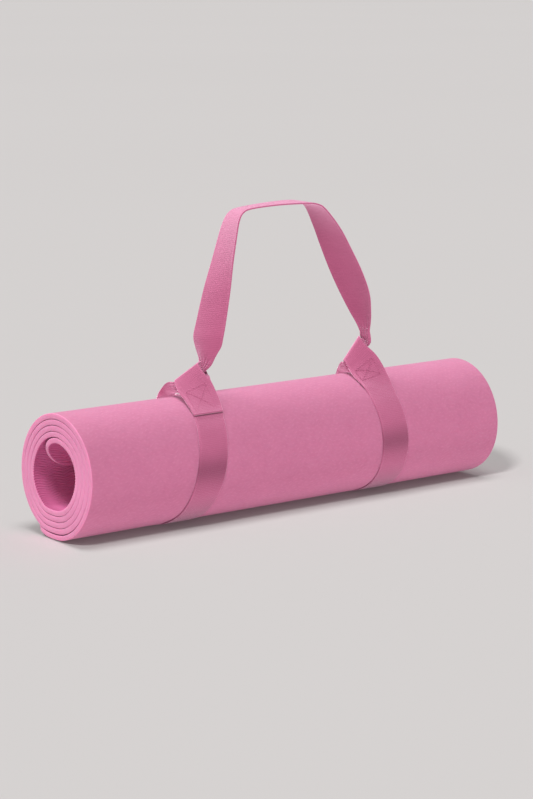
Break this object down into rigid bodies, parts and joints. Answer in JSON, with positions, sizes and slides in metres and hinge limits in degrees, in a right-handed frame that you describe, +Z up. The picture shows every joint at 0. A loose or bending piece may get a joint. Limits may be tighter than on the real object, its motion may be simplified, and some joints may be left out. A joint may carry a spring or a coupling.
{
  "type": "rolled exercise mat with carry strap",
  "caption": "Soft foam exercise mat rolled up and held by a webbing carry strap with two sewn slip nooses and a hand loop.",
  "frame": {"origin": "on the floor under the middle of the whole object's plan box", "axes": "+Z up from the floor, +X along the roll's axis, +Y to the back"},
  "size_m": [0.61, 0.1486, 0.3626],
  "materials": {
    "mat_foam": "matt closed-cell elastomer foam with a fine embossed texture",
    "strap_webbing": "flat woven cotton or polyester webbing with cross ribs and plain edges",
    "sewing_thread": "twisted polyester sewing thread, matt"
  },
  "bodies": {
    "roll": {"mat": "mat_foam"},
    "nooses": {"left_noose": "strap_webbing", "right_noose": "strap_webbing", "left_box_stitch": "sewing_thread", "right_box_stitch": "sewing_thread"},
    "handle": {"handle": "strap_webbing"}
  },
  "joints": [
    {"name": "strap_slide", "type": "slide", "parent": "roll", "child": "nooses", "axis": [1, 0, 0], "range_m": [-0.12, 0.12]},
    {"name": "handle_swing", "type": "hinge", "parent": "nooses", "child": "handle", "pos_m": [0, -0.0014, 0.1762], "axis": [1, 0, 0], "range_deg": [-80, 80]}
  ]
}
